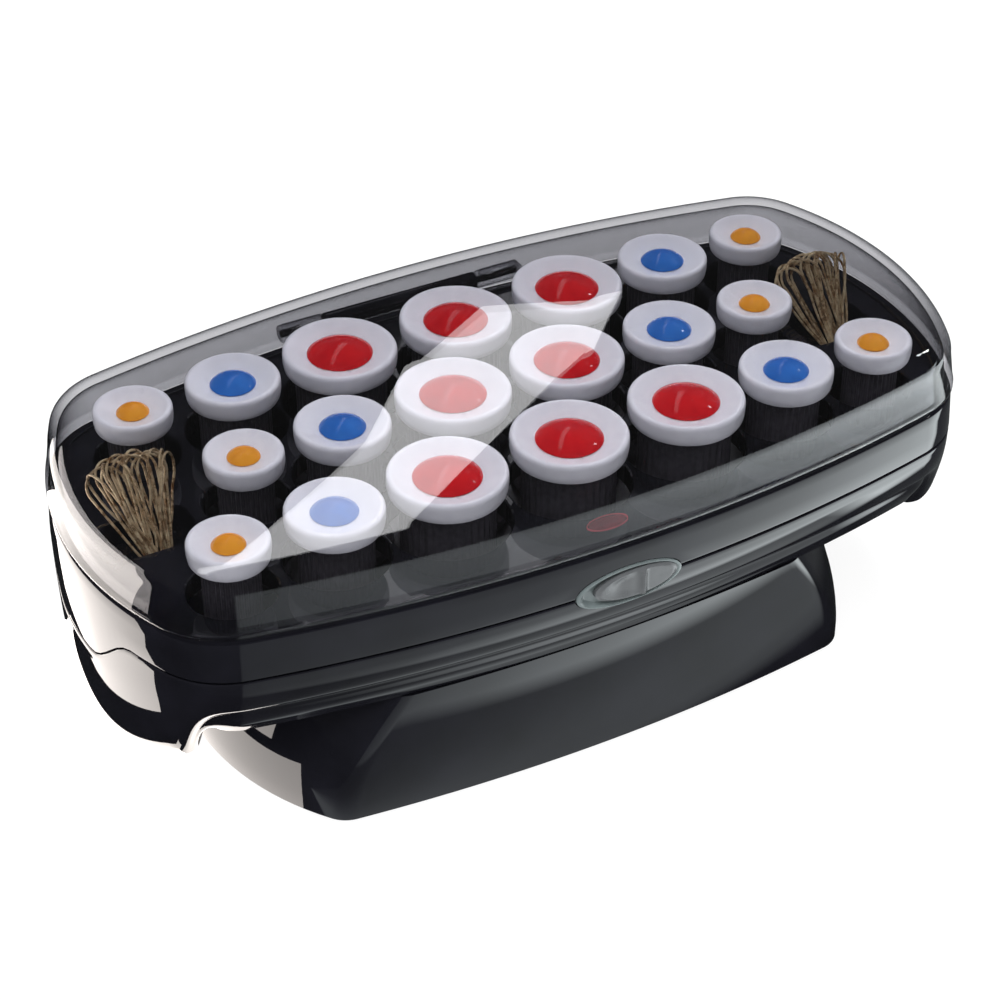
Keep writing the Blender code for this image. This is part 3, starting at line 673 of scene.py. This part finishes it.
def make_roller_meshes():
    """For each size, the meshes of the flange, barrel, lower flange and dome, about the roller's own axis."""
    made = {}
    for size, at in SIZES.items():
        flange, barrel, dish, ribs = at["flange_r"], at["barrel_r"], at["dot_r"] + 0.5, at["ribs"]

        def knurl(radius, height, side, flange=flange):
            inside_rim = radius > flange - 0.45 and 0.5 - FLANGE_THICKNESS < height < -1.5
            return radius - (0.12 if inside_rim and side % 2 else 0.0)

        def flute(radius, height, side, barrel=barrel):
            return radius - (0.45 if side % 4 in (1, 2) else 0.0) if radius > barrel - 0.1 else radius

        width = flange - dish
        top = [
            (0.0, -DISH_DEPTH - 0.1),
            (dish - 0.3, -DISH_DEPTH - 0.1),
            (dish + 0.1, -DISH_DEPTH + 0.1),
            (dish + width * 0.22, -DISH_DEPTH * 0.72),
            (dish + width * 0.45, -DISH_DEPTH * 0.42),
            (dish + width * 0.66, -DISH_DEPTH * 0.16),
            (flange - 1.9, -0.05),
            (flange - 1.3, 0.0),
            (flange - 0.75, -0.12),
            (flange - 0.35, -0.45),
            (flange - 0.1, -1.0),
            (flange, -1.8),
            (flange - 0.05, -4.4),
            (flange - 0.4, 0.8 - FLANGE_THICKNESS),
            (flange - 0.75, 0.25 - FLANGE_THICKNESS),
            (flange - 1.3, -FLANGE_THICKNESS),
            (barrel - 1.0, -FLANGE_THICKNESS),
            (barrel - 1.0, -FLANGE_THICKNESS - 1.0),
            (0.0, -FLANGE_THICKNESS - 1.0),
        ]
        body_top, body_end = -FLANGE_THICKNESS - 0.05, LOWER_FLANGE - ROLLER_LENGTH + 0.05
        tube = [
            (BORE_R, body_top - 2.0),
            (barrel, body_top - 0.4),
            (barrel, body_end + 0.4),
            (BORE_R, body_end),
            (BORE_R, body_top - 2.0),
        ]
        foot = [
            (BORE_R, LOWER_FLANGE - ROLLER_LENGTH),
            (flange - 0.9, LOWER_FLANGE - ROLLER_LENGTH),
            (flange - 0.4, LOWER_FLANGE - ROLLER_LENGTH - 0.5),
            (flange - 0.4, 0.5 - ROLLER_LENGTH),
            (flange - 0.9, -ROLLER_LENGTH),
            (BORE_R, -ROLLER_LENGTH),
            (BORE_R, LOWER_FLANGE - ROLLER_LENGTH),
        ]
        dot, lift, steps = at["dot_r"], 0.15 - DISH_DEPTH, 14
        dome = []
        for step in range(steps + 1):
            share = math.sin(math.pi / 2 * step / steps)
            dome.append((dot * share, lift + at["rise"] * (1 - share**2) ** 0.8))
        dome += [(dot - 0.2, lift - 0.2), (0.0, lift - 0.2)]
        made[size] = {
            "flange": shape_mesh(f"flange_{size}", turned(top, ribs * 2, knurl), "white_roller_plastic"),
            "barrel": shape_mesh(f"barrel_{size}", turned(tube, 144, flute), "barrel"),
            "foot_flange": shape_mesh(f"foot_flange_{size}", turned(foot, 72), "barrel"),
            "dome": shape_mesh(f"dome_{size}", turned(dome, 72), DOME_COLOURS[size]),
        }
    return made


def make_rollers():
    meshes = make_roller_meshes()
    for node, x, y, size in roller_places():
        short = node.removeprefix("roller_")
        for kind, mesh in meshes[size].items():
            piece = bpy.data.objects.new(f"{kind}_{short}", mesh)
            bpy.context.scene.collection.objects.link(piece)
            piece.location = Vector((x, y, FLANGE_TOP)) * MM
            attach(piece, node)
            if kind == "dome":
                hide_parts(f"heat_dot_{short}")
            if kind == "flange":
                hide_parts(node)


def foot_outline(height):
    narrower = FOOT_FLARE * (height / PEDESTAL_TOP) ** FOOT_FLARE_POWER
    plan = dict(FOOT_PLAN)
    plan["half_length"] -= narrower
    return outline(**plan)


def make_pedestal():
    levels = 14
    heights = [FOOT_RIM + (PEDESTAL_TOP - FOOT_RIM) * step / levels for step in range(levels + 1)]
    outside = [ring(foot_outline(height), 0.0, height) for height in heights[1:]]
    rim = [ring(foot_outline(FOOT_RIM), 0.9, FOOT_RIM), ring(foot_outline(FOOT_RIM), 0.15, FOOT_RIM + 0.7)]
    inside = [ring(foot_outline(height), WALL, height) for height in reversed(heights)]
    shape = loft(rim + outside + inside, closed=True)
    pedestal = finish_mesh("pedestal_foot", shape, "gloss_black_plastic", "gloss_black_plastic", "base")
    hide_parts("pedestal")


def switch_hole():
    """The oval opening for the bezel, cut through both housings at their seam."""
    plug = bmesh.new()
    add_rod(plug, (0, SWITCH_HOLE_Y[0], 0), (0, SWITCH_HOLE_Y[1], 0), 1.0, SWITCH_HOLE_SIDES)
    half = [along + SWITCH_GAP for along in BEZEL_HALF]
    bmesh.ops.scale(plug, vec=(half[0], 1.0, half[1]), verts=plug.verts)
    bmesh.ops.translate(plug, vec=Vector((0, 0, PARTING)) * MM, verts=plug.verts)
    return plug


def oval_face(half, depth, back, x=0.0, rings=14, sides=72):
    """An oval button facing -Y. depth(u, v) is its front's y over the unit disc."""
    shape = bmesh.new()
    rows = []
    for step in range(rings + 1):
        share = step / rings
        row = []
        for side in range(sides if step else 1):
            turn = 2 * math.pi * side / sides
            u, v = share * math.cos(turn), share * math.sin(turn)
            row.append(shape.verts.new(Vector((x + u * half[0], depth(u, v), PARTING + v * half[1])) * MM))
        rows.append(row)
    rim = [shape.verts.new(Vector((vert.co.x / MM, back, vert.co.z / MM)) * MM) for vert in rows[-1]]
    rows.append(rim)
    for first, second in zip(rows, rows[1:]):
        for side in range(sides):
            after = (side + 1) % sides
            corners = [first[side % len(first)], first[after % len(first)], second[after], second[side]]
            shape.faces.new(list(dict.fromkeys(corners)))
    shape.faces.new(rim)
    return shape


def make_switch():
    def bezel_depth(u, v):
        share = math.hypot(u, v)
        if share > 0.955:
            return SWITCH_FACE_Y + 0.25 * ((share - 0.955) / 0.045) ** 2
        return SWITCH_FACE_Y + 2.2 * smoothstep(0.955, 0.82, share)

    def slider_depth(u, v):
        share = math.hypot(u, v)
        ridge = 1.8 * math.exp(-(((u - 0.12) / 0.075) ** 2)) * smoothstep(0.99, 0.7, abs(v))
        scoop = 0.9 * math.exp(-(((u + 0.42) / 0.3) ** 2)) * smoothstep(1.0, 0.4, share)
        edge = 0.7 * smoothstep(0.86, 1.0, share)
        return SWITCH_FACE_Y - 0.35 - ridge + scoop + edge

    bezel = oval_face(BEZEL_HALF, bezel_depth, -79.5, rings=36)
    bezel = finish_mesh("switch_bezel", bezel, "pale_bezel_plastic", "pale_bezel_plastic", "base")
    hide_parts("power_switch_bezel")
    slider = oval_face(SLIDER_HALF, slider_depth, SWITCH_FACE_Y + 1.9, SLIDER_X, rings=40, sides=96)
    grey = "grey_switch_plastic"
    slider = finish_mesh("switch_slider", slider, grey, grey, "power_switch")
    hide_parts("power_switch_slider")


def make_indicator():
    for name, look, grow, top in (("lens", "red_indicator_lens", 0.0, 0.75), ("rim", "lens_rim", 0.25, 0.35)):
        wide, deep = LENS_HALF[0] + grow - 0.3, LENS_HALF[1] + grow - 0.3
        if name == "lens":
            profile = [(0.0, top), (0.5, top - 0.08), (0.8, top - 0.3), (0.93, top - 0.6)]
            profile += [(0.94, -3.0), (0.0, -3.0)]
        else:
            profile = [(0.95, top - 0.3), (0.97, top), (1.0, top - 0.05), (1.02, -0.5)]
            profile += [(0.95, -0.5), (0.95, top - 0.3)]
        shape = turned(profile, 64)
        bmesh.ops.scale(shape, vec=(wide, deep, 1.0), verts=shape.verts)
        bmesh.ops.translate(shape, vec=Vector((0, LENS_Y, DECK_TOP)) * MM, verts=shape.verts)
        piece = finish_mesh(f"indicator_{name}_glossy", shape, look, "red_indicator_lens", "base")
        if name == "lens":
            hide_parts("indicator_lens")


def hair_pin_points(root, lean_back, lean_side, twist, length, half_width):
    """A U-shaped wire pin: two slightly waved legs and a round arch."""
    leg_steps, arch_steps = 9, 14
    arch_z = length - half_width
    legs = {}
    for side in (-1, 1):
        legs[side] = []
        for step in range(leg_steps):
            share = step / leg_steps
            wave = 0.3 * math.sin(share * 3 * math.pi) * side
            z = PIN_ROOT + (arch_z - PIN_ROOT) * share
            legs[side].append(Vector((side * half_width * (0.5 + 0.5 * share**0.8), wave, z)))
    arch = []
    for step in range(arch_steps + 1):
        angle = math.pi * (1 - step / arch_steps)
        arch.append(Vector((math.cos(angle) * half_width, 0, arch_z + math.sin(angle) * half_width)))
    lean = Matrix.Rotation(-lean_back, 3, "X") @ Matrix.Rotation(lean_side, 3, "Y")
    turn = lean @ Matrix.Rotation(twist, 3, "Z")
    return [turn @ point + Vector(root) for point in legs[-1] + arch + list(reversed(legs[1]))]


def make_hair_pins():
    for name, side in (("left", -1), ("right", 1)):
        curve = bpy.data.curves.new(f"hair_pins_{name}_wire", "CURVE")
        curve.dimensions = "3D"
        curve.bevel_depth = PIN_WIRE_R * MM
        curve.bevel_resolution = 3
        curve.use_fill_caps = True
        for number in range(PIN_COUNT):
            seed = Vector((number * 7.31, side * 3.7, 1.9))
            drift = noise.noise(seed)
            other = noise.noise(seed + Vector((4.1, 2.2, 8.8)))
            share = number / (PIN_COUNT - 1) * 2 - 1
            root = (side * PINS_X + share * 5.0, PINS_Y + 3.5 * other, DECK_TOP)
            points = hair_pin_points(
                root,
                PIN_LEAN + math.radians(6 * other),
                math.radians(20 * share + 4 * drift),
                math.radians(120 * drift + 35 * share),
                PIN_LENGTH - 2.5 * abs(share) + 1.5 * drift,
                6.2 + 1.2 * other,
            )
            spline = curve.splines.new("POLY")
            spline.points.add(len(points) - 1)
            for spot, point in zip(spline.points, points):
                spot.co = (*(point * MM), 1.0)
        curve.materials.append(LOOKS["gold_hair_pin_wire"])
        piece = place(f"hair_pins_{name}_bundle", curve, "gold_hair_pin_wire", "base")
        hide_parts(f"hair_pins_{name}")


def paint_carried_nodes():
    """The frame's own solids that stay in sight get a detailed material."""
    slots = {row["node"]: row["material_slot"] for row in frame["record"]["subparts"]}
    for name, node in frame["nodes"].items():
        if node.hide_render:
            continue
        node.data.materials.clear()
        node.data.materials.append(LOOKS[slots[name]])


# ---------------------------------------------------------------- studio


def direction(azimuth, elevation):
    """A unit vector. Azimuth is measured from +Y towards +X, in degrees."""
    turn, lift = math.radians(azimuth), math.radians(elevation)
    return Vector((math.sin(turn) * math.cos(lift), math.cos(turn) * math.cos(lift), math.sin(lift)))


def area_light(name, place_at, target, size, radiance, roll_towards=(0, 0, 1), glossy=True):
    light = bpy.data.lights.new(name, "AREA")
    light.shape = "RECTANGLE"
    light.size, light.size_y = size
    light.energy = radiance * math.pi * size[0] * size[1]
    obj = bpy.data.objects.new(name, light)
    bpy.context.scene.collection.objects.link(obj)
    back = (Vector(place_at) - Vector(target)).normalized()
    up = Vector(roll_towards).normalized()
    right = up.cross(back).normalized()
    turn = Matrix((right, back.cross(right), back)).transposed()
    obj.matrix_world = Matrix.Translation(place_at) @ turn.to_4x4()
    obj.visible_camera = False
    obj.visible_glossy = glossy


def make_floor():
    shape = bmesh.new()
    bmesh.ops.create_grid(shape, x_segments=1, y_segments=1, size=6.0)
    mesh = bpy.data.meshes.new("floor")
    shape.to_mesh(mesh)
    shape.free()
    made, _, shader = nodes_of("studio_floor")
    shader.inputs["Base Color"].default_value = (0.08, 0.08, 0.08, 1.0)
    shader.inputs["Roughness"].default_value = 0.8
    shader.inputs["Emission Color"].default_value = (1.0, 1.0, 1.0, 1.0)
    shader.inputs["Emission Strength"].default_value = 0.93
    mesh.materials.append(made)
    floor = bpy.data.objects.new("floor", mesh)
    bpy.context.scene.collection.objects.link(floor)
    floor.location.z = -0.0002
    floor.visible_glossy = False


# Brightness that the gloss sees low round the object, by the angle about the left front corner
CARD_CENTRE = (-129.0, -59.0)
CARD_STOPS = [
    (0.0, 0.1),
    (90.0, 0.1),
    (150.0, 0.02),
    (258.0, 0.02),
    (259.0, 0.3),
    (300.0, 0.55),
    (315.0, 0.8),
    (328.0, 1.5),
    (338.0, 2.6),
    (348.0, 4.5),
    (354.0, 4.5),
    (355.5, 0.1),
    (360.0, 0.1),
]
CARD_BRIGHTEST = 4.5
CARD_TINT = (0.93, 1.0, 1.02)
# In front of the foot the card is darker, a painted shadow: the shade the body casts on the floor there, as
# the gloss sees it. These are that patch's edges, along the card's own axes in metres.
CARD_SHADE_Y = (-0.058, -0.050)
CARD_SHADE_X = (0.27, 0.30)
CARD_SHADE_SHARE = 0.16
PANEL_TINT = (1.0, 0.93, 0.88)
PANEL_GLOW = 5.2
PANEL_HEIGHT = 112.0
# Corners of the two glowing panels: one upright beside the left end, one on the table at the foot's left end
LEFT_PANEL = ((-204, -21, 0), (-172, 100, 0), (-172, 100, PANEL_HEIGHT), (-204, -21, PANEL_HEIGHT))
FOOT_PANEL = ((-168, -54, 0.3), (-100, -54, 0.3), (-100, 80, 0.3), (-168, 80, 0.3))


def glow_only_in_gloss(obj):
    obj.visible_camera = False
    obj.visible_diffuse = False
    obj.visible_shadow = False
    obj.visible_transmission = False


def make_panel(name, corners):
    """A glowing panel that only the gloss sees."""
    shape = bmesh.new()
    shape.faces.new([shape.verts.new(Vector(corner) * MM) for corner in corners])
    mesh = bpy.data.meshes.new(name)
    shape.to_mesh(mesh)
    shape.free()
    made = bpy.data.materials.new(name + "_glow")
    made.use_nodes = True
    tree = made.node_tree
    tree.nodes.clear()
    glow = add_node(tree, "ShaderNodeEmission", Color=(*PANEL_TINT, 1.0), Strength=PANEL_GLOW)
    out = add_node(tree, "ShaderNodeOutputMaterial")
    tree.links.new(glow.outputs["Emission"], out.inputs["Surface"])
    mesh.materials.append(made)
    panel = bpy.data.objects.new(name, mesh)
    bpy.context.scene.collection.objects.link(panel)
    glow_only_in_gloss(panel)


def card_colour(brightness):
    return (*(brightness / CARD_BRIGHTEST * share for share in CARD_TINT), 1.0)


def make_floor_card():
    """A card on the floor that only the gloss sees: dark at the left, and brighter to the right in front."""
    shape = bmesh.new()
    bmesh.ops.create_grid(shape, x_segments=1, y_segments=1, size=1.6)
    mesh = bpy.data.meshes.new("floor_card")
    shape.to_mesh(mesh)
    shape.free()
    card = bpy.data.objects.new("floor_card", mesh)
    bpy.context.scene.collection.objects.link(card)
    card.location = (CARD_CENTRE[0] * MM, CARD_CENTRE[1] * MM, 0.0)
    made = bpy.data.materials.new("card_glow")
    made.use_nodes = True
    tree = made.node_tree
    tree.nodes.clear()
    place_node = add_node(tree, "ShaderNodeTexCoord")
    radial = add_node(tree, "ShaderNodeTexGradient", gradient_type="RADIAL")
    tree.links.new(place_node.outputs["Object"], radial.inputs["Vector"])
    turn = add_node(tree, "ShaderNodeMath", operation="FRACT")
    shifted = add_node(tree, "ShaderNodeMath", operation="ADD")
    shifted.inputs[1].default_value = 0.5
    tree.links.new(radial.outputs["Fac"], shifted.inputs[0])
    tree.links.new(shifted.outputs["Value"], turn.inputs[0])
    ramp = add_node(tree, "ShaderNodeValToRGB")
    for position, brightness in CARD_STOPS[1:-1]:
        element = ramp.color_ramp.elements.new(position / 360.0)
        element.color = card_colour(brightness)
    for end in (0, -1):
        ramp.color_ramp.elements[end].color = card_colour(CARD_STOPS[end][1])
    tree.links.new(turn.outputs["Value"], ramp.inputs["Fac"])
    split = add_node(tree, "ShaderNodeSeparateXYZ")
    tree.links.new(place_node.outputs["Object"], split.inputs["Vector"])
    # Painted shadow: the card dims in front of the foot, where the body shades the floor.
    near = add_node(tree, "ShaderNodeMath", operation="MULTIPLY")
    tree.links.new(ranged(tree, split.outputs["Y"], 0.0, 1.0, *CARD_SHADE_Y), near.inputs[0])
    tree.links.new(ranged(tree, split.outputs["X"], 1.0, 0.0, *CARD_SHADE_X), near.inputs[1])
    strength = ranged(tree, near.outputs["Value"], CARD_BRIGHTEST, CARD_BRIGHTEST * CARD_SHADE_SHARE, 0.0, 1.0)
    glow = add_node(tree, "ShaderNodeEmission")
    tree.links.new(strength, glow.inputs["Strength"])
    tree.links.new(ramp.outputs["Color"], glow.inputs["Color"])
    out = add_node(tree, "ShaderNodeOutputMaterial")
    tree.links.new(glow.outputs["Emission"], out.inputs["Surface"])
    mesh.materials.append(made)
    glow_only_in_gloss(card)


def make_world():
    """White for the camera, soft grey as fill, and nearly dark in the gloss."""
    world = bpy.data.worlds.new("studio")
    bpy.context.scene.world = world
    world.use_nodes = True
    tree = world.node_tree
    tree.nodes.clear()
    path = add_node(tree, "ShaderNodeLightPath")
    fill = add_node(tree, "ShaderNodeBackground", Color=(1.0, 1.0, 1.0, 1.0), Strength=0.8)
    gloss = add_node(tree, "ShaderNodeBackground", Color=(1.0, 1.0, 1.0, 1.0), Strength=0.03)
    sight = add_node(tree, "ShaderNodeBackground", Color=(1.0, 1.0, 1.0, 1.0), Strength=1.0)
    first, second = add_node(tree, "ShaderNodeMixShader"), add_node(tree, "ShaderNodeMixShader")
    tree.links.new(path.outputs["Is Glossy Ray"], first.inputs["Fac"])
    tree.links.new(fill.outputs["Background"], first.inputs[1])
    tree.links.new(gloss.outputs["Background"], first.inputs[2])
    tree.links.new(path.outputs["Is Camera Ray"], second.inputs["Fac"])
    tree.links.new(first.outputs["Shader"], second.inputs[1])
    tree.links.new(sight.outputs["Background"], second.inputs[2])
    out = add_node(tree, "ShaderNodeOutputWorld")
    tree.links.new(second.outputs["Shader"], out.inputs["Surface"])


STRIP_DISTANCE = 5.0
STRIP_LOW, STRIP_HIGH = (29.5, 29.5), (-53.0, 74.9)


def make_lights():
    centre = Vector((0.0, 0.0, 0.11))
    low = centre + direction(*STRIP_LOW) * STRIP_DISTANCE
    high = centre + direction(*STRIP_HIGH) * STRIP_DISTANCE
    middle = (low + high) / 2
    length = (high - low).length
    area_light("strip_light", middle, centre, (0.48, length), 2.9, high - low)
    area_light("side_light", centre + direction(84.0, 41.0) * 1.5, centre, (0.14, 0.14), 22.0)
    area_light("key_light", (-0.45, -0.55, 1.5), (0, 0, 0.1), (0.9, 0.9), 9.0, glossy=False)
    area_light("back_light", (0.75, 0.85, 1.2), (0, 0, 0.1), (0.7, 0.7), 20.0, glossy=False)


def make_camera():
    camera = bpy.data.cameras.new("camera")
    camera.lens = CAMERA_LENS
    camera.sensor_width = 36.0
    camera.clip_end = 20.0
    obj = bpy.data.objects.new("camera", camera)
    bpy.context.scene.collection.objects.link(obj)
    axes = [Vector(axis).normalized() for axis in CAMERA_AXES]
    obj.matrix_world = Matrix.Translation(Vector(CAMERA_PLACE) * MM) @ Matrix(axes).transposed().to_4x4()
    bpy.context.scene.camera = obj


make_upper_housing()
make_lower_housing()
make_lid()
make_rollers()
make_pedestal()
make_switch()
make_indicator()
make_hair_pins()
paint_carried_nodes()
make_floor()
make_floor_card()
make_panel("left_panel", LEFT_PANEL)
make_panel("foot_panel", FOOT_PANEL)
make_world()
make_lights()
make_camera()
bpy.context.scene.view_settings.view_transform = "Standard"
